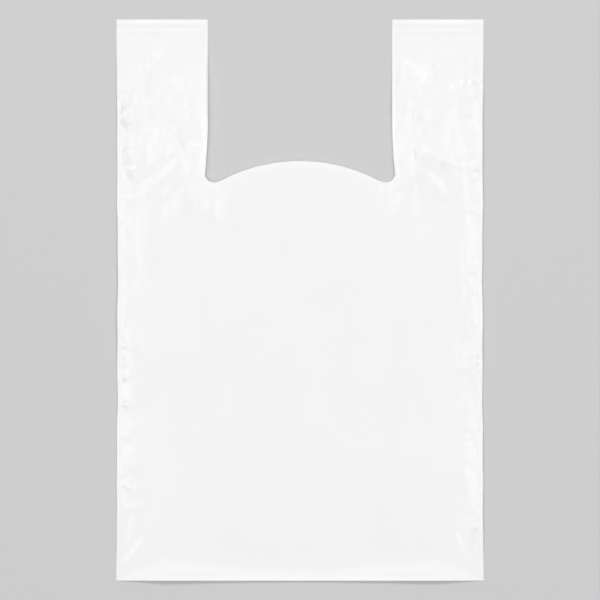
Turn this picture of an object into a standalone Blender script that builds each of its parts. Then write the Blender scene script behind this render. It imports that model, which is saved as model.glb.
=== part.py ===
"""A vest-type plastic carrier bag, folded flat and lying on its back.

The bag is one piece of film and is built the way it is made. A blown tube of film has both sides
tucked in as gussets, both ends are welded shut across the whole width, and the mouth is then die-cut
out of one end through every layer, which leaves the two handle straps.

Metres, +Z up. X is the width, Y runs from the bottom weld to the strap ends, the back panel lies on
Z = 0, and the origin is under the middle of the bag.
"""

import math

import bmesh
import bpy
from mathutils import Vector

MM = 0.001

# The film
FILM = 0.02 * MM  # gauge of the film
FILM_COLOUR = (0.93, 0.93, 0.925, 1.0)
FILM_ROUGHNESS = 0.38

# The folded tube
WIDTH = 300 * MM  # across the folded bag
LENGTH = 458 * MM  # from the bottom cut to the strap ends
GUSSET = 70 * MM  # depth of the tuck at each side
LAYER_PITCH = 0.9 * MM  # from one layer to the next where the tube is not welded
MIDDLE_RISE = 1.7 * MM  # front panel above the back panel, between the two gussets
SAG_RUN = 26 * MM  # width over which the front panel sags inboard of a gusset

# The welds
WELD = 3 * MM  # width of the weld at each end
WELD_FUSE = 0.5 * MM  # length over which separate layers run into the fused strip
OPENING_RUN = 14 * MM  # length over which the layers part from each other beside a weld
PITCH_AT_WELD = 2.5 * FILM  # from one layer to the next where the weld begins

# The die-cut mouth, measured from the middle of the bag
STRAP_INNER_X = 75.3 * MM  # inner edge of a strap
FLARE_RADIUS = 440 * MM  # the wide arc that narrows the foot of a strap
CORNER_X = 70.5 * MM  # lowest point of a corner of the mouth
CORNER_Y = 96.1 * MM
CORNER_OUTER_RADIUS = 7.1 * MM
CORNER_INNER_RADIUS = 12 * MM
DOME_TOP_Y = 113.5 * MM  # highest point of the lip between the corners
DOME_RADIUS = 138 * MM
CUT_BELOW = 5 * MM  # how far the cutter runs past the bag, below and above
CUT_ABOVE = 10 * MM

# Facets
BEND_STEPS = 6  # on each half-round fold of the film
SAG_STEPS = 6  # on each side's sag of the front panel
OPENING_STEPS = 6  # on the run where the layers part
ARC_STEP = math.radians(7)  # on the arcs of the mouth


def ease(share):
    """A smooth step from 0 to 1."""
    return share * share * (3 - 2 * share)


def half_round(centre_x, centre_z, radius, start, turn):
    """The points of a half-round fold of the film, seen along Y."""
    angles = [start + turn * math.pi * k / BEND_STEPS for k in range(BEND_STEPS + 1)]
    return [Vector((centre_x + radius * math.cos(a), centre_z + radius * math.sin(a))) for a in angles]


def tube_path(pitch, middle):
    """The middle line of the film round the tube, anticlockwise from the middle of the back panel."""
    bend = pitch / 2
    back = FILM / 2
    edge_x = WIDTH / 2 - FILM / 2 - bend
    crease_x = WIDTH / 2 - GUSSET + bend
    down, up = -math.pi / 2, math.pi / 2
    half = half_round(edge_x, back + bend, bend, down, 1)
    half += half_round(crease_x, back + 3 * bend, bend, down, -1)
    half += half_round(edge_x, back + 5 * bend, bend, down, 1)
    for step in range(SAG_STEPS + 1):
        share = step / SAG_STEPS
        rise = 3 * pitch + (middle - 3 * pitch) * ease(share)
        half.append(Vector((crease_x - SAG_RUN * share, back + rise)))
    return half + [Vector((-p.x, p.y)) for p in reversed(half)]


def offset(path, distance):
    """The closed path moved outwards by a distance, keeping the same wall at every corner."""
    moved = []
    for i, point in enumerate(path):
        before = (point - path[i - 1]).normalized()
        after = (path[(i + 1) % len(path)] - point).normalized()
        normal_before = Vector((before.y, -before.x))
        normal_after = Vector((after.y, -after.x))
        corner = (normal_before + normal_after) / (1 + normal_before.dot(normal_after))
        moved.append(point + corner * distance)
    return moved


def ring(bm, section, y):
    """One loop of vertices at a station along the bag."""
    return [bm.verts.new((p.x, y, p.y)) for p in section]


def skin(bm, rings):
    """The faces between neighbouring loops."""
    faces = []
    for lower, upper in zip(rings, rings[1:]):
        count = len(lower)
        for i in range(count):
            j = (i + 1) % count
            faces.append(bm.faces.new((lower[i], lower[j], upper[j], upper[i])))
    return faces


def stations():
    """(y, layer pitch, rise of the front panel) from the bottom weld to the top weld."""
    from_end = []
    for step in range(OPENING_STEPS + 1):
        share = step / OPENING_STEPS
        pitch = PITCH_AT_WELD + (LAYER_PITCH - PITCH_AT_WELD) * ease(share)
        middle = PITCH_AT_WELD + (MIDDLE_RISE - PITCH_AT_WELD) * ease(share)
        from_end.append((WELD + OPENING_RUN * share, pitch, middle))
    bottom = [(-LENGTH / 2 + d, pitch, middle) for d, pitch, middle in from_end]
    top = [(LENGTH / 2 - d, pitch, middle) for d, pitch, middle in reversed(from_end)]
    return bottom + top


def pockets(count):
    """The point numbers of the two slots that the gussets leave open at the sides."""
    last = BEND_STEPS + 1
    first = BEND_STEPS // 2
    slot = list(range(first, 2 * last + first + 1))
    mirrored = [count - 1 - i for i in reversed(slot)]
    return slot, mirrored


def weld(bm, outer, end_y, side):
    """Closes one end: caps on both slots, then a fused strip out to the cut edge."""
    hidden = set()
    for slot in pockets(len(outer)):
        bm.faces.new([outer[i] for i in slot])
        hidden.update(slot[1:-1])
    kept = [i for i in range(len(outer)) if i not in hidden]
    fused = offset(tube_path(FILM, FILM), FILM / 2)
    strip = [fused[i] for i in kept]
    start = [outer[i] for i in kept]
    near = ring(bm, strip, end_y - side * (WELD - WELD_FUSE))
    far = ring(bm, strip, end_y)
    skin(bm, [start, near, far])
    bm.faces.new(far)


def new_object(name, bm, hollow=()):
    """Turns a bmesh into an object, its faces pointing out of the solid and into its hollow."""
    bmesh.ops.recalc_face_normals(bm, faces=bm.faces)
    bmesh.ops.reverse_faces(bm, faces=list(hollow))
    bmesh.ops.triangulate(bm, faces=bm.faces)
    mesh = bpy.data.meshes.new(name)
    bm.to_mesh(mesh)
    bm.free()
    made = bpy.data.objects.new(name, mesh)
    bpy.context.scene.collection.objects.link(made)
    return made


def welded_tube():
    """The gusseted tube with both ends welded across its whole width, before the mouth is cut."""
    bm = bmesh.new()
    inner = []
    outer = []
    for y, pitch, middle in stations():
        path = tube_path(pitch, middle)
        inner.append(ring(bm, offset(path, -FILM / 2), y))
        outer.append(ring(bm, offset(path, FILM / 2), y))
    skin(bm, outer)
    weld(bm, outer[0], -LENGTH / 2, -1)
    weld(bm, outer[-1], LENGTH / 2, 1)
    hollow = skin(bm, inner)
    hollow += [bm.faces.new(inner[0]), bm.faces.new(inner[-1])]
    return new_object("bag", bm, hollow)


def arc(centre, radius, start, end):
    """The points of an arc, from one angle to another."""
    steps = max(2, math.ceil(abs(end - start) / ARC_STEP))
    angles = [start + (end - start) * k / steps for k in range(steps + 1)]
    return [centre + radius * Vector((math.cos(a), math.sin(a))) for a in angles]


def mouth_outline():
    """The die-cut line: down one strap, round its corner, over the dome, and mirrored."""
    corner = Vector((CORNER_X, CORNER_Y + CORNER_OUTER_RADIUS))
    flare_x = STRAP_INNER_X + FLARE_RADIUS
    reach = FLARE_RADIUS + CORNER_OUTER_RADIUS
    flare_y = corner.y + math.sqrt(reach**2 - (flare_x - corner.x) ** 2)
    meet = math.atan2(flare_y - corner.y, flare_x - corner.x)

    inner = Vector((CORNER_X, CORNER_Y + CORNER_INNER_RADIUS))
    dome = Vector((0, DOME_TOP_Y - DOME_RADIUS))
    between = inner - dome
    lean = math.acos((DOME_RADIUS + CORNER_INNER_RADIUS) / between.length)
    flank = math.atan2(between.y, between.x) + lean

    half = [Vector((STRAP_INNER_X, LENGTH / 2 + CUT_BELOW))]
    half += arc(Vector((flare_x, flare_y)), FLARE_RADIUS, math.pi, math.pi + meet)
    half += arc(corner, CORNER_OUTER_RADIUS, meet, -math.pi / 2)[1:]
    half += arc(inner, CORNER_INNER_RADIUS, -math.pi / 2, flank - math.pi)[1:]
    half += arc(dome, DOME_RADIUS, flank, math.pi / 2)[:-1]
    top = [Vector((0, DOME_TOP_Y))]
    return half + top + [Vector((-p.x, p.y)) for p in reversed(half)]


def mouth_cutter():
    """The die: a prism of the mouth's outline that runs right through the bag."""
    bm = bmesh.new()
    outline = mouth_outline()
    low = [bm.verts.new((p.x, p.y, -CUT_BELOW)) for p in outline]
    high = [bm.verts.new((p.x, p.y, CUT_ABOVE)) for p in outline]
    bm.faces.new(low)
    bm.faces.new(high)
    skin(bm, [low, high])
    cutter = new_object("mouth_cutter", bm)
    cutter.hide_render = True
    cutter.display_type = "WIRE"
    return cutter


def film_material():
    """White high-density polyethylene film."""
    material = bpy.data.materials.new("white_film")
    material.use_nodes = True
    shader = material.node_tree.nodes["Principled BSDF"]
    shader.inputs["Base Color"].default_value = FILM_COLOUR
    shader.inputs["Roughness"].default_value = FILM_ROUGHNESS
    shader.inputs["Metallic"].default_value = 0.0
    return material


def main():
    for old in list(bpy.data.objects):
        bpy.data.objects.remove(old, do_unlink=True)
    bag = welded_tube()
    cut = bag.modifiers.new("mouth", "BOOLEAN")
    cut.operation = "DIFFERENCE"
    cut.solver = "EXACT"
    cut.object = mouth_cutter()
    bag.data.materials.append(film_material())


main()
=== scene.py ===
# %% [markdown]
# # A plastic carrier bag, folded flat
# A vest-type carrier bag is one piece of thin white film. The film leaves the machine as a tube, its
# two sides are tucked in as gussets, both ends are welded shut, and a die cuts the mouth out of one
# end. This lesson builds it the same way: a flat cut of film first, then the folds, then the small
# creases that handling leaves in it.
#
# The solid model gives the frame and the size. The film made here takes that solid's place, because
# a plain solid has none of the creases that make film look like film.

# %% Load the frame
import math
import random

import bpy
import numpy as np
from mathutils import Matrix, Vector
from mathutils.geometry import delaunay_2d_cdt
from mathutils.kdtree import KDTree


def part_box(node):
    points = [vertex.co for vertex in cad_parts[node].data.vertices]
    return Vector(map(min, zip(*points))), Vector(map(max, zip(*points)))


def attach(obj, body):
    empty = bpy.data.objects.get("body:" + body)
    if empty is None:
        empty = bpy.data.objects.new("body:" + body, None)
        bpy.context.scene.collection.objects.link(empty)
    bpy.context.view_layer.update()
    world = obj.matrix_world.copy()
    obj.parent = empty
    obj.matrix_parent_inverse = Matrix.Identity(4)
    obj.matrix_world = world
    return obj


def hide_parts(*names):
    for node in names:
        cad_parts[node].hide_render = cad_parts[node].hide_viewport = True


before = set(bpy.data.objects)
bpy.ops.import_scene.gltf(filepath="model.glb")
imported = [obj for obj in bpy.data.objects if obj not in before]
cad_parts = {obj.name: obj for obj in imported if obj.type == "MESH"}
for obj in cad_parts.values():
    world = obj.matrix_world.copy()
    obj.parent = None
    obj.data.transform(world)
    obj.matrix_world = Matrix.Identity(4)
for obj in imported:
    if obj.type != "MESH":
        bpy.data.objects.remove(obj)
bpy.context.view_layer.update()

MM = 0.001
low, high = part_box("bag")
WIDTH = high[0] - low[0]
LENGTH = high[1] - low[1]
print("the folded bag is", round(WIDTH / MM), "by", round(LENGTH / MM), "mm")

# %% [markdown]
# ## The cut of the film
# Unroll the bag and it is a sheet about 880 mm wide: the front panel in the middle, a gusset of two
# leaves on each side of it, and half of the back panel at each end. A point on the sheet is known by
# how far it is from the middle of the front panel, and by how far up the bag it is. The sheet is
# worked out in millimetres, which keeps its numbers easy to read.
#
# Every fold is a half-round bend. The runs below say where along the sheet each flat and each bend
# begins, going outwards from the middle of the front.

# %% The runs along the sheet
HALF_WIDTH = WIDTH / 2 / MM
HALF_LENGTH = LENGTH / 2 / MM
GUSSET = 70.0
BEND = 0.45
BEND_RUN = math.pi * BEND
EDGE_X = HALF_WIDTH - BEND
CREASE_X = HALF_WIDTH - GUSSET + BEND
LEAF = EDGE_X - CREASE_X

FRONT_END = EDGE_X
UPPER_LEAF = FRONT_END + BEND_RUN
CREASE = UPPER_LEAF + LEAF
LOWER_LEAF = CREASE + BEND_RUN
BACK_BEND = LOWER_LEAF + LEAF
BACK = BACK_BEND + BEND_RUN
HALF_SHEET = BACK + EDGE_X
print("the flat sheet is", round(2 * HALF_SHEET), "mm wide")

# %% [markdown]
# ## The mouth
# The die leaves a low dome between two rounded corners, and each strap widens a little at its foot.
# Each stretch is an arc that meets the next one smoothly, so a few radii give the whole line. The
# same line is cut out of the front and out of the back.

# %% Draw the line of the die
STRAP_X = 75.3
FLARE_RADIUS = 440.0
CORNER = (70.5, 96.1)
CORNER_OUTER, CORNER_INNER = 7.1, 12.0
DOME_TOP, DOME_RADIUS = 113.5, 138.0
CUT_STEP = 1.1


def arc(centre, radius, start, end):
    steps = max(3, round(abs(end - start) * radius / CUT_STEP))
    angles = np.linspace(start, end, steps + 1)
    return [(centre[0] + radius * math.cos(a), centre[1] + radius * math.sin(a)) for a in angles]


def straight(start, end, step):
    count = max(1, round(math.dist(start, end) / step))
    return [tuple(np.add(start, np.subtract(end, start) * k / count)) for k in range(count)]


def half_mouth():
    """The cut line on one side, from the middle of the dome to the top of the strap."""
    outer = (CORNER[0], CORNER[1] + CORNER_OUTER)
    inner = (CORNER[0], CORNER[1] + CORNER_INNER)
    flare_x = STRAP_X + FLARE_RADIUS
    reach = FLARE_RADIUS + CORNER_OUTER
    flare_y = outer[1] + math.sqrt(reach**2 - (flare_x - outer[0]) ** 2)
    meet = math.atan2(flare_y - outer[1], flare_x - outer[0])
    rise = inner[1] - (DOME_TOP - DOME_RADIUS)
    lean = math.acos((DOME_RADIUS + CORNER_INNER) / math.hypot(inner[0], rise))
    flank = math.atan2(rise, inner[0]) + lean
    line = arc((0, DOME_TOP - DOME_RADIUS), DOME_RADIUS, math.pi / 2, flank)
    line += arc(inner, CORNER_INNER, flank - math.pi, -math.pi / 2)
    line += arc(outer, CORNER_OUTER, -math.pi / 2, meet)[1:]
    line += arc((flare_x, flare_y), FLARE_RADIUS, math.pi + meet, math.pi)[1:]
    return line + straight(line[-1], (STRAP_X, HALF_LENGTH), CUT_STEP)[1:] + [(STRAP_X, HALF_LENGTH)]


MOUTH = half_mouth()
print("the mouth's half line has", len(MOUTH), "points")

# %% [markdown]
# ## A fine mesh of the flat sheet
# Film creases show as thin lines of light. Where the film is creased, which is along the folds and in
# the straps, the points are about 1 mm apart. The smooth middle, the gusset leaves and the back take
# fewer. The points stand in columns, closer together where the film is creased.

# %% Columns of points
FINE, MEDIUM, COARSE = 1.1, 2.2, 4.5
LIP_ROWS = (0.9, 2.0)
WELD = 3.0
TURNED_RUN = 24.0
FINE_COLUMNS = 77
BEND_STEPS = 6


def columns():
    """Where the columns of points stand on one half of the sheet, and how far apart each one's are."""
    marks = [(x, MEDIUM) for x in np.arange(0, CORNER[0] - 2, MEDIUM)]
    marks += [(x, FINE) for x in np.linspace(CORNER[0] - 2, FRONT_END, FINE_COLUMNS)[:-1]]
    for start in (FRONT_END, CREASE, BACK_BEND):
        step = FINE if start == FRONT_END else MEDIUM
        marks += [(start + BEND_RUN * k / BEND_STEPS, step) for k in range(BEND_STEPS + 1)]
    for start in (UPPER_LEAF, LOWER_LEAF):
        marks += [(x, COARSE) for x in np.linspace(start, start + LEAF, round(LEAF / COARSE) + 1)[1:-1]]
    marks += [(x, COARSE) for x in np.arange(BACK + COARSE, HALF_SHEET - COARSE / 2, COARSE)]
    return sorted(marks)


print("one half of the sheet has", len(columns()), "columns of points")

# %% [markdown]
# The outline of the flat sheet comes next. Its ends follow the columns, so that the mesh meets the
# welds cleanly, and its mouth is the die's line, once for the front and once for the back.

# %% The sheet's outline
def outline():
    """The sheet's edge, anticlockwise from the bottom left corner."""
    top = HALF_LENGTH
    back = [(HALF_SHEET - x, y) for x, y in MOUTH]
    marks = [x for x, _ in columns()]
    bottom = [-x for x in reversed(marks) if x > 0] + marks
    right = straight((HALF_SHEET, -top), (HALF_SHEET, DOME_TOP), COARSE)[1:] + back
    across = [(x, top) for x in reversed(marks) if STRAP_X + 0.5 < x < HALF_SHEET - STRAP_X - 0.5]
    half = right + across + list(reversed(MOUTH))
    mirrored = [(-x, y) for x, y in reversed(half[:-1])]
    edge = [(x, -top) for x in bottom if abs(x) < HALF_SHEET - 0.5] + [(HALF_SHEET, -top)] + half
    return edge + mirrored + [(-HALF_SHEET, -top)]


edge = outline()
print("the outline has", len(edge), "points")

# %% [markdown]
# Two rows of points follow the cut at a set distance, so that its lip is even. The other points keep
# clear of them. The rows near the bottom weld are the same for every layer, which keeps the layers
# level there, where they are pressed together.

# %% Points inside the outline
def lip_rows():
    """Rows of points on the film's side of the cut, from the middle of the dome outwards."""
    line = np.array(MOUTH)
    along = np.gradient(line, axis=0)
    along /= np.linalg.norm(along, axis=1)[:, None]
    into_film = np.column_stack([along[:, 1], -along[:, 0]])
    rows = [line + into_film * gap for gap in LIP_ROWS]
    return [tuple(p) for row in rows for p in row if 0.4 < p[0] and p[1] < HALF_LENGTH - 0.8]


MOUTH_FLOOR = [p for p in MOUTH if p[0] <= CORNER[0] + 0.01 and p[1] < DOME_TOP + 0.01]
MOUTH_SIDE = [p for p in MOUTH if p[0] > CORNER[0]]


def in_mouth(x, y, margin):
    """True where a point of a panel would be in the mouth, or too near its edge."""
    line = np.array(MOUTH)
    near = np.hypot(line[:, 0] - x, line[:, 1] - y).min()
    edge_x = np.interp(y, [p[1] for p in MOUTH_SIDE], [p[0] for p in MOUTH_SIDE])
    edge_y = np.interp(x, [p[0] for p in MOUTH_FLOOR], [p[1] for p in MOUTH_FLOOR])
    return near < margin or (x < edge_x and y > edge_y)


def interior():
    """Points inside the sheet, in staggered rows."""
    points = []
    for number, (x, step) in enumerate(columns()):
        shift = step / 2 if number % 2 else 0
        front = x < FRONT_END
        panel_x = x if front else HALF_SHEET - x
        margin = LIP_ROWS[-1] + 0.6 if front else step * 0.6
        welded = [WELD / 2, WELD, WELD + 1, WELD + 2, WELD + 3.2]
        turned = np.arange(WELD + 4.4, TURNED_RUN - step / 2, min(step, MEDIUM))
        turned = -HALF_LENGTH + np.concatenate([welded, turned])
        level = np.arange(-HALF_LENGTH + TURNED_RUN + shift, HALF_LENGTH - step * 0.5, step)
        for y in np.concatenate([turned, level]):
            near_mouth = y > CORNER[1] - 6 and panel_x < STRAP_X + 8 and (front or x > BACK)
            if near_mouth and in_mouth(panel_x, y, margin):
                continue
            points.append((x, y))
    points += lip_rows()
    return points + [(-x, y) for x, y in points if x > 0]


inner = interior()
print("inside it are", len(inner), "points")

# %% [markdown]
# A Delaunay triangulation joins the points. It keeps the cut line exactly, which a square grid could
# not.

# %% Join the points
count = len(edge)
flat_points = [Vector(p) for p in edge + inner]
sides = [(i, (i + 1) % count) for i in range(count)]
sheet = delaunay_2d_cdt(flat_points, sides, [], 1, 1e-4)
FLAT = np.array([tuple(p) for p in sheet[0]])
FACES = [f for f in sheet[2]]
print("the sheet has", len(FLAT), "points and", len(FACES), "triangles")

# %% [markdown]
# ## Creases
# A crease in film is a line where its slope changes sharply, and which fades away on both sides.
# `crease` gives that: it is highest on the line and falls off on each side over its own distance, so
# that one side can be steep and the other a long facet. Left and right are as seen going along it.

# %% One crease
def crease(points, path, left, right, height, soft=0.18):
    """The height that one crease adds at each point. Distances and height are in millimetres."""
    near = np.full(len(points), 1e9)
    side = np.zeros(len(points))
    along = np.zeros(len(points))
    path = np.array(path, float)
    runs = np.linalg.norm(np.diff(path, axis=0), axis=1)
    total, done = runs.sum(), 0.0
    for start, end, run in zip(path, path[1:], runs):
        direction = (end - start) / run
        offset = points - start
        reach = np.clip(offset @ direction, 0, run)
        gap = np.linalg.norm(offset - reach[:, None] * direction, axis=1)
        closer = gap < near
        turn = direction[0] * offset[:, 1] - direction[1] * offset[:, 0]
        near = np.where(closer, gap, near)
        side = np.where(closer, turn, side)
        along = np.where(closer, (done + reach) / total, along)
        done += run
    wide = np.where(side > 0, left, right)
    fall = np.exp(soft - np.sqrt((near / wide) ** 2 + soft**2))
    fade = np.clip(4 * along * (1 - along), 0, 1) ** 0.7
    return height * fall * fade


def creases(points, listed):
    total = np.zeros(len(points))
    for path, left, right, height in listed:
        reach = 6 * max(left, right)
        low_end, high_end = np.min(path, axis=0) - reach, np.max(path, axis=0) + reach
        near = ((points > low_end) & (points < high_end)).all(axis=1)
        total[near] += crease(points[near], path, left, right, height)
    return total


sample = crease(np.array([(0.0, 0.0), (6.0, 0.0)]), [(0, -20), (0, 20)], 3, 9, 1.0)
print("a crease 1 mm high is still", round(sample[1], 2), "mm high 6 mm out on its slack side")

# %% [markdown]
# Creases aren't scattered evenly. Film creases where it is pulled or packed, so each family below
# starts from a place on the bag: a mouth corner, the middle of a strap, a folded side or a bottom
# corner. A line is given by where it starts, its direction in degrees, its length and how far it
# bows. A negative height is a valley.

# %% A line on the film
STRAP_MIDDLE = (STRAP_X + HALF_WIDTH) / 2
STRAP_WIDTH = HALF_WIDTH - STRAP_X
STRAP_RUN = HALF_LENGTH - CORNER[1]


def line_from(start, degrees, run, bow=0.0):
    """Seven points along a line that starts at a place and bows to its left."""
    turn = math.radians(degrees)
    ahead, left = (math.cos(turn), math.sin(turn)), (-math.sin(turn), math.cos(turn))
    shares = [k / 6 for k in range(7)]
    bows = [4 * bow * t * (1 - t) for t in shares]
    return [
        (start[0] + run * t * ahead[0] + b * left[0], start[1] + run * t * ahead[1] + b * left[1])
        for t, b in zip(shares, bows)
    ]


print("a strap is", round(STRAP_WIDTH), "mm wide and", round(STRAP_RUN), "mm long")

# %% [markdown]
# ### Straps and mouth
# Carrying a bag pulls on the foot of each strap, so creases fan from the mouth's corner down to the
# side fold. Every second crease of a fan is a shallow valley, because film that rises on one line has
# to dip beside it.

# %% Pull fans
def fan(centre, spread, count, reach, height, seed):
    """Creases that fan out from a centre, between two directions."""
    chance = random.Random(seed)
    lines = []
    for k in range(count):
        degrees = spread[0] + (spread[1] - spread[0]) * (k + chance.uniform(-0.25, 0.25)) / (count - 1)
        inner = reach[0] * chance.uniform(0.8, 1.4)
        turn = math.radians(degrees)
        start = (centre[0] + inner * math.cos(turn), centre[1] + inner * math.sin(turn))
        run = (reach[1] - inner) * chance.uniform(0.7, 1.0)
        wide = chance.uniform(4, 8)
        rise = height * chance.uniform(0.7, 1.2) * (-0.35 if k % 2 else 1)
        lines.append((line_from(start, degrees, run, run * 0.06), wide, wide * 1.8, rise))
    return lines


LEFT_FOOT = (-STRAP_X, CORNER[1] + STRAP_RUN * 0.35)
RIGHT_FOOT = (STRAP_X, CORNER[1] + STRAP_RUN * 0.25)
STRAP_CREASES = fan(LEFT_FOOT, (214, 250), 7, (18, 92), 1.8, 31)
STRAP_CREASES += fan(RIGHT_FOOT, (-75, -25), 5, (22, 76), 1.1, 32)
print("the fans have", len(STRAP_CREASES), "creases")

# %% [markdown]
# Packing leaves a few long soft pleats down each strap, and the cut corner itself gets short tugs
# straight down. The two straps are never creased alike, so each has its own seed.

# %% Tugs and pleats
def tugs(hand, count, run, height, seed):
    """Short creases straight down from a corner of the mouth."""
    chance = random.Random(seed)
    lines = []
    for k in range(count):
        x = hand * (CORNER[0] + (k - 0.3) * 8.0 + chance.uniform(-3, 3))
        start = (x, CORNER[1] - chance.uniform(3, 10))
        wide = chance.uniform(2.4, 4.6)
        path = line_from(start, -90 + chance.uniform(-9, 9), run * chance.uniform(0.6, 1.4))
        lines.append((path, wide, wide, height * chance.uniform(0.7, 1.2)))
    return lines


def pleats(hand, count, lean, height, seed):
    """Long soft creases down a strap, spread over its width. A negative lean is outwards."""
    chance = random.Random(seed)
    lines = []
    for k in range(count):
        across = STRAP_WIDTH * (k + chance.uniform(0.35, 0.85)) / count
        start = (hand * (STRAP_X + across), HALF_LENGTH - STRAP_RUN * chance.uniform(0.08, 0.26))
        run = STRAP_RUN * chance.uniform(0.35, 0.6)
        degrees = -90 - hand * chance.uniform(*lean)
        path = line_from(start, degrees, run, run * chance.uniform(-0.07, 0.07))
        sharp, slack = chance.uniform(2.5, 5), chance.uniform(8, 14)
        left, right = (sharp, slack) if chance.random() < 0.5 else (slack, sharp)
        lines.append((path, left, right, height * chance.uniform(0.7, 1.2)))
    return lines


STRAP_CREASES += pleats(-1, 3, (-26, 6), 1.4, 35)
STRAP_CREASES += pleats(1, 3, (6, 28), 2.0, 36)
MOUTH_CREASES = tugs(-1, 3, 25, 1.1, 33) + tugs(1, 2, 14, -0.6, 34)
print("straps and mouth have", len(STRAP_CREASES) + len(MOUTH_CREASES), "creases")

# %% [markdown]
# ### Sides and bottom corners
# A folded side gets pinched every few centimetres where the bags are stacked and gripped. A pinch
# runs in from the fold at a slant. Between the pinches the fold has smaller nicks, made by the same
# loop.

# %% Pinches and nicks
def pinches(hand, gap, run, height, wide, seed):
    """Creases that start at one folded side, at uneven distances apart, all the way up the bag."""
    chance = random.Random(seed)
    lines = []
    y = -HALF_LENGTH + 12
    while y < HALF_LENGTH - 12:
        start = (hand * (HALF_WIDTH - chance.uniform(1, 6)), y)
        slant = chance.uniform(-60, 60)
        degrees = slant if hand < 0 else 180 - slant
        length = chance.uniform(*run)
        rise = chance.choice((-0.5, 1, 1)) * chance.uniform(*height)
        side = chance.uniform(*wide)
        other = side * chance.uniform(1.1, 2.6)
        steep_on_left = (hand < 0) == (rise > 0)
        left, right = (side, other) if steep_on_left else (other, side)
        path = line_from(start, degrees, length, length * chance.uniform(-0.15, 0.15))
        lines.append((path, left, right, rise))
        y += chance.uniform(*gap) * chance.choice((0.5, 1.0, 1.0, 1.6))
    return lines


SIDE_CREASES = []
for hand, seed in ((-1, 43), (1, 42)):
    SIDE_CREASES += pinches(hand, (16, 38), (12, 24), (0.5, 0.95), (2.2, 4.5), seed)
    SIDE_CREASES += pinches(hand, (3.5, 9), (5, 14), (0.15, 0.42), (1.2, 2.4), seed + 10)
print("the two sides have", len(SIDE_CREASES), "pinches and nicks")

# %% [markdown]
# The bottom corners are stiff, with four layers welded together, and they crease near the diagonal
# that the gusset's own shape gives them.

# %% Corner creases
CORNER_TURNS = (12, -12, 0)
CORNER_HEIGHTS = (1.3, 0.7, -0.4)


def corner_creases(hand, seed):
    """Creases by a bottom corner's diagonal, each shorter and lower than the last."""
    chance = random.Random(seed)
    corner = (hand * (HALF_WIDTH - WELD), -HALF_LENGTH + WELD)
    lines = []
    for k, (turn, height) in enumerate(zip(CORNER_TURNS, CORNER_HEIGHTS)):
        degrees = 45 + turn + chance.uniform(-4, 4)
        run = GUSSET * (0.6 - 0.12 * k)
        sharp = WELD * chance.uniform(0.7, 1.1)
        slack = sharp * chance.uniform(2.5, 3.5)
        left, right = (sharp, slack) if hand < 0 else (slack, sharp)
        across = degrees if hand < 0 else 180 - degrees
        path = line_from(corner, across, run, run * chance.uniform(0, 0.06))
        lines.append((path, left, right, height))
    return lines


CORNER_CREASES = corner_creases(-1, 51) + corner_creases(1, 52)
PLACED = STRAP_CREASES + MOUTH_CREASES + SIDE_CREASES + CORNER_CREASES
print("the bag has", len(PLACED), "creases in all")

# %% [markdown]
# ## Crumple
# Between those, the film has a finer crumple, most of it along the folded sides. Crumpled film is
# flat facets that meet at sharp lines. There is a short formula for that: take two sets of random
# points, and at every place subtract the squared distance to the nearest point of one set from the
# squared distance to the nearest of the other. The squares cancel, so the result is flat within each
# cell and bends only where cells meet.

# %% Facets
def facets(points, cell, seed, stretch=(1.0, 1.0)):
    """Random flat facets about one cell wide, with a slope of about one on average."""
    chance = random.Random(seed)
    scaled = points * np.array(stretch)
    span = np.abs(scaled).max(axis=0) + 2 * cell
    count = int(4 * span[0] * span[1] / cell**2)
    squares = []
    for _ in range(2):
        tree = KDTree(count)
        for i in range(count):
            tree.insert((chance.uniform(-span[0], span[0]), chance.uniform(-span[1], span[1]), 0), i)
        tree.balance()
        squares.append(np.array([tree.find((x, y, 0))[2] ** 2 for x, y in scaled]))
    return (squares[0] - squares[1]) / cell


few = np.column_stack([np.linspace(-60, 60, 25), np.zeros(25)])
tallest = np.abs(facets(few, 13.0, 12)).max()
print("before scaling, facets 13 mm wide stand up to", round(tallest, 1), "mm high")

# %% [markdown]
# The film also rises and falls slowly, over lengths of several centimetres. A few sine waves in
# random directions are enough for that.

# %% Swell
WAVES = 12


def swell(points, cell, seed):
    """Slow random waves about one cell long, with a height of about one."""
    chance = random.Random(seed)
    total = np.zeros(len(points))
    for _ in range(WAVES):
        angle = chance.uniform(0, math.pi)
        pace = 2 * math.pi / (cell * chance.uniform(0.7, 1.6))
        start = chance.uniform(0, 2 * math.pi)
        total += np.sin(pace * (points @ (math.cos(angle), math.sin(angle))) + start)
    return total / math.sqrt(WAVES)


print("waves 120 mm long stand up to", round(np.abs(swell(few, 120.0, 13)).max(), 1), "mm high")

# %% [markdown]
# ## The height of the front panel
# The film's layers lie on each other, fused in the welds, and part a little away from them. The
# functions below say how freely they part. They are smooth steps, because a sudden change of height
# would show as a hard line.

# %% Smooth steps
PITCH = 0.9
STRAPS_PART_OVER, BOTTOM_PARTS_OVER = 76.0, 42.0
FOLD_HOLDS, FOLD_RUN = 0.66, 17.0


def ease(share):
    """0 up to nothing, 1 from one on, and smooth between."""
    share = np.clip(share, 0, 1)
    return share * share * (3 - 2 * share)


def no_lower(value, least, soft=0.25):
    """The value, kept above the least by bending it smoothly instead of cutting it off."""
    return least + soft * np.logaddexp(0, (value - least) / soft)


def fade_from(distance, reach):
    """1 at no distance, falling smoothly towards 0."""
    return np.exp(-((np.maximum(distance, 0) / reach) ** 2))


def part_from_weld(points):
    """0 in a weld, rising to 1 where the layers lie free."""
    y = points[:, 1]
    at_straps = ease((HALF_LENGTH - y - WELD - WELD / 2) / STRAPS_PART_OVER)
    at_bottom = ease((HALF_LENGTH + y - WELD) / BOTTOM_PARTS_OVER)
    return np.minimum(at_straps, at_bottom)


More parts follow.
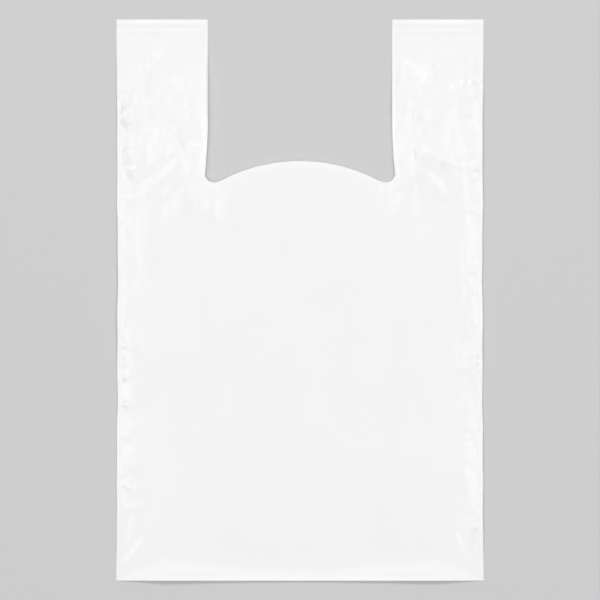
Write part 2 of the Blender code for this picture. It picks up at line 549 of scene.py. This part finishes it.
def part_from_fold(x):
    """The outer folds are pressed sharp, so the layers close up towards them."""
    return FOLD_HOLDS + (1 - FOLD_HOLDS) * ease((HALF_WIDTH - np.abs(x)) / FOLD_RUN)


middle_line = np.array([(0.0, y) for y in (-HALF_LENGTH, -HALF_LENGTH + 20, 0.0)])
print("how freely the layers part at the weld, 20 mm up and halfway:", part_from_weld(middle_line).round(2))

# %% [markdown]
# Some lines are the same on every bag. A faint groove runs beside each fold where the layers were
# rolled flat, the gusset's inner fold shows through, and each strap is loftier along its middle.

# %% Grooves and loft
GROOVE_DEPTH, GROOVE_IN = 0.32, 3.9
SHOW_THROUGH = 0.13
STRAP_SLOPE, LOFT_REACH = 0.16, 21.0


def groove(points):
    """A faint line runs beside each folded side, where the layers were rolled flat."""
    side = HALF_WIDTH - np.abs(points[:, 0])
    drift = GROOVE_IN + 0.5 * np.sin(points[:, 1] / 31.0)
    return -GROOVE_DEPTH * np.exp(-(((side - drift) / 1.0) ** 2))


def gusset_line(points):
    """The inner fold of each gusset shows through the front panel as a faint line up the bag."""
    x, y = points[:, 0], points[:, 1]
    faint = 0.55 + 0.45 * np.sin(y / 37.0 + 2 * np.sign(x))
    return -SHOW_THROUGH * faint * np.exp(-(((np.abs(x) - CREASE_X) / 1.3) ** 2))


def strap_puff(points):
    """A strap stands highest along its calm middle, and slopes down from there to both its edges."""
    x, y = np.abs(points[:, 0]), points[:, 1]
    hand = np.sign(points[:, 0])
    middle = STRAP_MIDDLE + 4 * np.sin(y / 27.0 + hand) - 2 * hand
    calm = 9 + 4 * np.sin(y / 19.0 - 2 * hand)
    over = np.abs(x - middle) - calm
    slope_run = (over + np.sqrt(over**2 + 3.0)) / 2
    on_strap = ease((y - CORNER[1] + 20) / 50.0) * ease((x - CORNER[0] + 8) / 14.0)
    on_strap *= ease((HALF_LENGTH - y - 6) / 82.0)
    return on_strap * STRAP_SLOPE * no_lower(LOFT_REACH - slope_run, 0, 3.0)


loft = strap_puff(np.array([(STRAP_MIDDLE, HALF_LENGTH - STRAP_RUN / 2)]))[0]
print("a strap's middle is lofted by", round(loft, 1), "mm")

# %% [markdown]
# All of that adds up to the relief of the front panel. The crumple is strongest on the straps and
# along the folded sides, and the middle of the panel stays calm. Where a strap meets a folded side,
# the stronger of the two counts, and not their sum.

# %% Relief
def crumple_by_strap(points):
    """1 on the straps and their feet, and little on the calm dome between them."""
    risen = 1 / (1 + np.exp(-(points[:, 1] - 85) / 14.0))
    outward = ease((np.abs(points[:, 0]) - CORNER[0] + 20) / 30.0)
    return risen * (0.1 + 0.9 * outward)


def relief(points):
    """The creases and the crumple, in millimetres, before the welds hold them down."""
    x, y = points[:, 0], points[:, 1]
    side = HALF_WIDTH - np.abs(x)
    strap = crumple_by_strap(points)
    total = creases(points, PLACED) + groove(points)
    total += strap_puff(points) + gusset_line(points)
    small = np.maximum(1.2 * fade_from(side, 12), 0.42 * strap)
    medium = 0.06 + np.maximum(fade_from(side, 22), 0.75 * strap)
    long = np.maximum(0.95 * strap, 0.7 * fade_from(side, 20))
    total += 0.085 * facets(points, 5.0, 11) * small
    total += 0.055 * facets(points, 13.0, 12, (1.0, 0.6)) * medium
    total += 0.140 * facets(points, 15.0, 15, (1.0, 0.25)) * long
    total += 0.35 * swell(points, 120.0, 13)
    total += 0.07 * swell(points, 34.0, 14) * (0.4 + strap)
    return total


high_spot = relief(np.array([(-STRAP_MIDDLE, HALF_LENGTH - STRAP_RUN / 2), (0.0, 0.0)]))
print("relief in a strap's middle and in the panel's middle:", high_spot.round(1), "mm")

# %% [markdown]
# The film's cut and welded ends have a shape of their own. The die raises a thin lip, and the heat of
# the weld shrinks the film, which puckers the straps and turns the bottom edge up.

# %% Lip, curl and weld
LIP_HEIGHT, LIP_RUN = 0.55, 0.9
LIP_GROOVE, LIP_GROOVE_IN = 0.30, 2.4
CURL_SLOPE = 0.22
CURL_START, CURL_BOW, CURL_WIDEST = 8.5, 10.0, 112
STEP_DEPTH = 0.10
PUCKERS = ((0.60, 3.6, 2.3), (0.32, 9.8, 1.5))


def mouth_distance(points):
    """How far each point of the front is from the die-cut line."""
    tree = KDTree(len(MOUTH))
    for i, (x, y) in enumerate(MOUTH):
        tree.insert((x, y, 0), i)
    tree.balance()
    return np.array([tree.find((abs(x), y, 0))[2] for x, y in points])


def lip(points):
    """The die leaves a thin raised edge, with a faint groove just inside it."""
    gap = mouth_distance(points)
    groove_in = LIP_GROOVE * np.exp(-((gap - LIP_GROOVE_IN) ** 2) / 0.8)
    return LIP_HEIGHT * np.exp(-gap / LIP_RUN) - groove_in


def curl(points):
    """The weld shrinks, so the bottom edge turns up off the ground. The turn starts on a bowed line,
    nearer the edge in the middle, and runs off into both corners."""
    x = np.abs(points[:, 0])
    from_end = HALF_LENGTH + points[:, 1]
    bowed = CURL_START + CURL_BOW * (x / CURL_WIDEST) ** 1.6
    into_corner = (HALF_WIDTH - x) * 0.46
    start = np.minimum(bowed, into_corner)
    over = start - from_end
    return CURL_SLOPE * (over + np.sqrt(over**2 + 1.2)) / 2


def weld_line(points):
    """The step where the bar of the welder stopped, and two puckers across each strap beside it."""
    from_end = HALF_LENGTH - np.abs(points[:, 1])
    step = -STEP_DEPTH * np.exp(-(((from_end - WELD + 0.4) / 0.55) ** 2))
    uneven = 1 + 0.3 * np.sin(points[:, 0] / 6.1) * np.sin(points[:, 0] / 17.0)
    pucker = sum(
        height * uneven * np.exp(-(((from_end - place) / run) ** 2)) for height, place, run in PUCKERS
    )
    return step + pucker * (points[:, 1] > 0)


bottom_edge = curl(np.array([(0.0, -HALF_LENGTH), (CREASE_X, -HALF_LENGTH)]))
print("the bottom edge turns up by", bottom_edge.round(1), "mm in the middle and at the gusset's fold")

# %% [markdown]
# ## The four layers
# The layer heights are counted from 0, the back, to 3, the front. The creases belong to the front
# panel. The gusset leaves under it follow only its broad shape, and the front keeps clear of them.
# Only in the welds, where the layers are fused, do they come as close as a film's own thickness.

# %% Heights of the layers
LEAF_SHARE = 0.17
FUSED, CLEAR = 0.02, 0.13
HELD_LEAST = 0.3
INBOARD_RUN = 26.0
MIDDLE_RISE = 1.9


def layer_heights(points, x):
    """The heights of the four layers, from the back to the front, over the places of the points."""
    place = np.column_stack([x, points[:, 1]])
    from_end = HALF_LENGTH - np.abs(place[:, 1])
    hold = part_from_weld(place)
    free = hold * part_from_fold(x)
    held = np.sqrt(hold) * (HELD_LEAST + (1 - HELD_LEAST) * part_from_fold(x))
    opened = np.where(place[:, 1] < 0, ease((from_end - WELD) / 4.0), hold)
    gap = FUSED + CLEAR * opened
    pitch = gap + LEAF_SHARE * (free * 3 * PITCH + strap_puff(place) * held)
    surface = relief(place) * held
    inboard = ease((CREASE_X - np.abs(x)) / INBOARD_RUN)
    shape = free * 3 * PITCH + surface
    middle = free * MIDDLE_RISE + surface
    least = gap + 2 * pitch * (1 - inboard)
    front = no_lower(shape + (middle - shape) * inboard, least, FUSED + 0.2 * hold)
    trim = lip(place) * (np.abs(points[:, 0]) < FRONT_END)
    base = curl(place)
    top = base + np.maximum(front + trim + weld_line(place), least)
    return base, base + pitch, base + 2 * pitch, top


halfway = np.array([(STRAP_MIDDLE, 0.0)])
stack = [round(float(layer[0]), 2) for layer in layer_heights(halfway, halfway[:, 0])]
print("over the gusset, halfway up, the layers lie at", stack, "mm")

# %% [markdown]
# ## Fold the sheet
# Now each point of the flat sheet goes to its place, and a bend runs half-round from one layer to the
# next. The sides aren't quite straight. Only the welds hold the film's full width, and between them
# the sides draw in a little.

# %% Place every point
def waist(x, y):
    """The sides draw in a little between the welds, and wander as they go."""
    drawn_in = 0.9 * (1 - (y / HALF_LENGTH) ** 2) * (1 + 0.3 * np.sin(y / 17.0) + 0.2 * np.sin(y / 7.3))
    return drawn_in * (x / HALF_WIDTH) ** 6


def folded(points):
    """The sheet's points in space, in millimetres."""
    run = np.abs(points[:, 0])
    hand = np.where(points[:, 0] < 0, -1.0, 1.0)
    spans = [
        (0, FRONT_END, lambda t: t),
        (FRONT_END, UPPER_LEAF, lambda t: EDGE_X + BEND * np.sin(t / BEND)),
        (UPPER_LEAF, CREASE, lambda t: EDGE_X - t),
        (CREASE, LOWER_LEAF, lambda t: CREASE_X - BEND * np.sin(t / BEND)),
        (LOWER_LEAF, BACK_BEND, lambda t: CREASE_X + t),
        (BACK_BEND, BACK, lambda t: EDGE_X + BEND * np.sin(t / BEND)),
        (BACK, HALF_SHEET + 1, lambda t: EDGE_X - t),
    ]
    x = np.zeros(len(points))
    turn = np.zeros(len(points))
    stage = np.zeros(len(points), int)
    for number, (start, end, place) in enumerate(spans):
        here = (run >= start) & (run < end)
        x[here] = place(run[here] - start)
        stage[here] = number
        turn[here] = (run[here] - start) / (end - start)
    heights = layer_heights(points, hand * x)
    z = np.zeros(len(points))
    for number in range(7):
        here = stage == number
        layer = 3 - number // 2
        upper = heights[layer][here]
        if number % 2 == 0:
            z[here] = upper
        else:
            lower = heights[layer - 1][here]
            z[here] = (upper + lower) / 2 + (upper - lower) / 2 * np.cos(math.pi * turn[here])
    return np.column_stack([hand * (x - waist(x, points[:, 1])), points[:, 1], z])


placed = folded(FLAT) * MM
print("the film stands", round(placed[:, 2].max() / MM, 1), "mm high")

# %% [markdown]
# The points and triangles become one mesh. Smooth shading lets the light run over the small
# triangles without showing them.

# %% The film's mesh
film_mesh = bpy.data.meshes.new("carrier_film")
film_mesh.from_pydata([tuple(p) for p in placed], [], FACES)
film = bpy.data.objects.new("carrier_film", film_mesh)
bpy.context.scene.collection.objects.link(film)
film_mesh.shade_smooth()
print("the film has", len(film_mesh.polygons), "triangles")

# %% [markdown]
# ## Shader maths
# One small class wraps a socket, so that the patterns read as ordinary sums.

# %% A socket that does sums
class Value:
    def __init__(self, tree, socket):
        self.tree, self.socket = tree, socket

    def made(self, kind, settings, inputs, output=0):
        node = self.tree.nodes.new(kind)
        for name, value in settings.items():
            setattr(node, name, value)
        for name, value in inputs.items():
            if isinstance(value, Value):
                self.tree.links.new(value.socket, node.inputs[name])
            else:
                node.inputs[name].default_value = value
        return Value(self.tree, node.outputs[output])

    def maths(self, operation, first, second):
        return self.made("ShaderNodeMath", {"operation": operation}, {0: first, 1: second})

    def __add__(self, other):
        return self.maths("ADD", self, other)

    __radd__ = __add__

    def __mul__(self, other):
        return self.maths("MULTIPLY", self, other)

    __rmul__ = __mul__

    def __sub__(self, other):
        return self.maths("SUBTRACT", self, other)

    def __rsub__(self, other):
        return self.maths("SUBTRACT", other, self)


print("a value can be added, subtracted and multiplied")

# %% [markdown]
# ## The film's finish
# Carrier film is white, a little glossy, and lets some light through. A Principled shader gives the
# gloss, and a Translucent shader mixed in passes light to the layers behind, which is why the film
# looks whiter where it lies four layers deep over the gussets. Blown film is drawn lengthwise, which
# leaves a very fine streak along the bag in its gloss and thickness.

# %% Make the film
def film_finish():
    material = bpy.data.materials.new("white_film")
    material.use_nodes = True
    tree = material.node_tree
    tree.nodes.clear()
    start = Value(tree, None)
    place = start.made("ShaderNodeTexCoord", {}, {}, "Object")
    drawn = start.made("ShaderNodeMapping", {}, {"Vector": place, "Scale": (900.0, 14.0, 1.0)})
    streak = start.made("ShaderNodeTexNoise", {}, {"Vector": drawn, "Scale": 1.0, "Detail": 3.0}, "Fac")
    grain = start.made("ShaderNodeTexNoise", {}, {"Vector": place, "Scale": 260.0, "Detail": 4.0}, "Fac")
    cloud = start.made("ShaderNodeTexNoise", {}, {"Vector": place, "Scale": 22.0, "Detail": 2.0}, "Fac")
    tone = start.made(
        "ShaderNodeMix",
        {"data_type": "RGBA"},
        {"Factor": streak * 0.5 + cloud * 0.5, "A": (0.93, 0.93, 0.93, 1), "B": (0.96, 0.96, 0.96, 1)},
        "Result",
    )
    height = grain * 0.4 + streak * 0.6
    bump = start.made("ShaderNodeBump", {}, {"Height": height, "Strength": 0.12, "Distance": 0.00005})
    gloss = start.made(
        "ShaderNodeBsdfPrincipled",
        {},
        {"Base Color": tone, "Roughness": 0.27 + 0.09 * cloud, "Normal": bump, "IOR": 1.52},
    )
    through = start.made("ShaderNodeBsdfTranslucent", {}, {"Color": (0.95, 0.95, 0.945, 1)})
    mixed = start.made("ShaderNodeMixShader", {}, {0: 0.20, 1: gloss, 2: through})
    output = tree.nodes.new("ShaderNodeOutputMaterial")
    tree.links.new(mixed.socket, output.inputs["Surface"])
    return material


film_mesh.materials.append(film_finish())
print("the film's finish is", film_mesh.materials[0].name)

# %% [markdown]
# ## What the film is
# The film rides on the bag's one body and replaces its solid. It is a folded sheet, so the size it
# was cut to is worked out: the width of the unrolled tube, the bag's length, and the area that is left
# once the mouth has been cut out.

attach(film, "root")
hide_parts("bag")
flat_width, flat_length = 2 * HALF_SHEET * MM, LENGTH
corners = [FLAT[list(f)] for f in FACES]
flat_area = sum(
    abs((c[1][0] - c[0][0]) * (c[2][1] - c[0][1]) - (c[2][0] - c[0][0]) * (c[1][1] - c[0][1])) / 2
    for c in corners
) * MM * MM
print("the film's flat area is", round(flat_area, 3), "square metres")

# %% [markdown]
# ## Floor, light and camera
# The bag lies on a plain pale floor, a shade darker than the film, so that its outline reads.

# %% The floor
def plain(name, colour, roughness):
    material = bpy.data.materials.new(name)
    material.use_nodes = True
    shader = material.node_tree.nodes["Principled BSDF"]
    shader.inputs["Base Color"].default_value = (*colour, 1)
    shader.inputs["Roughness"].default_value = roughness
    shader.inputs["Specular IOR Level"].default_value = 0.2
    return material


bpy.ops.mesh.primitive_plane_add(size=6, location=(0, 0, -0.0002))
floor = bpy.context.object
floor.name = "floor"
floor.data.materials.append(plain("pale_floor", (0.542, 0.542, 0.542), 0.9))
print("the floor is", round(floor.dimensions.x), "metres wide")

# %% [markdown]
# A big soft light high at the strap end models the creases, and it leaves a thin shadow only beyond
# the bottom edge. Softer lights at the foot and both sides fill in. The side lights stand far enough
# out that flat film doesn't mirror them, and only a crease's flank does.

# %% Lights
def soft_light(name, place, aim, size, power):
    lamp = bpy.data.lights.new(name, "AREA")
    lamp.shape = "RECTANGLE"
    lamp.size, lamp.size_y = size
    lamp.energy = power
    holder = bpy.data.objects.new(name, lamp)
    holder.location = place
    holder.rotation_euler = (Vector(aim) - Vector(place)).to_track_quat("-Z", "Y").to_euler()
    bpy.context.scene.collection.objects.link(holder)
    return holder


soft_light("key", (0.0, 3.0, 4.1), (0, 0, 0), (2.7, 1.8), 121)
soft_light("foot_fill", (0.0, -1.9, 3.6), (0, 0, 0), (2.3, 1.0), 34)
soft_light("left_fill", (-2.0, 0.0, 3.6), (0, 0, 0), (1.0, 2.5), 43)
soft_light("right_fill", (2.0, 0.0, 3.6), (0, 0, 0), (1.0, 2.5), 43)

world = bpy.data.worlds.new("studio")
world.use_nodes = True
world.node_tree.nodes["Background"].inputs["Color"].default_value = (1, 1, 1, 1)
world.node_tree.nodes["Background"].inputs["Strength"].default_value = 0.19
bpy.context.scene.world = world
bpy.context.scene.view_settings.view_transform = "Standard"

# %% [markdown]
# The camera looks straight down. A long lens far away keeps the outline square at its edges.

# %% Camera
VIEW_WIDTH = 0.4898
lens = bpy.data.cameras.new("overhead")
lens.lens = 400
lens.sensor_width = 36
camera = bpy.data.objects.new("overhead", lens)
camera.location = (0, 0, VIEW_WIDTH * lens.lens / lens.sensor_width)
bpy.context.scene.collection.objects.link(camera)
bpy.context.scene.camera = camera
print("the camera is", round(camera.location.z, 2), "metres up")
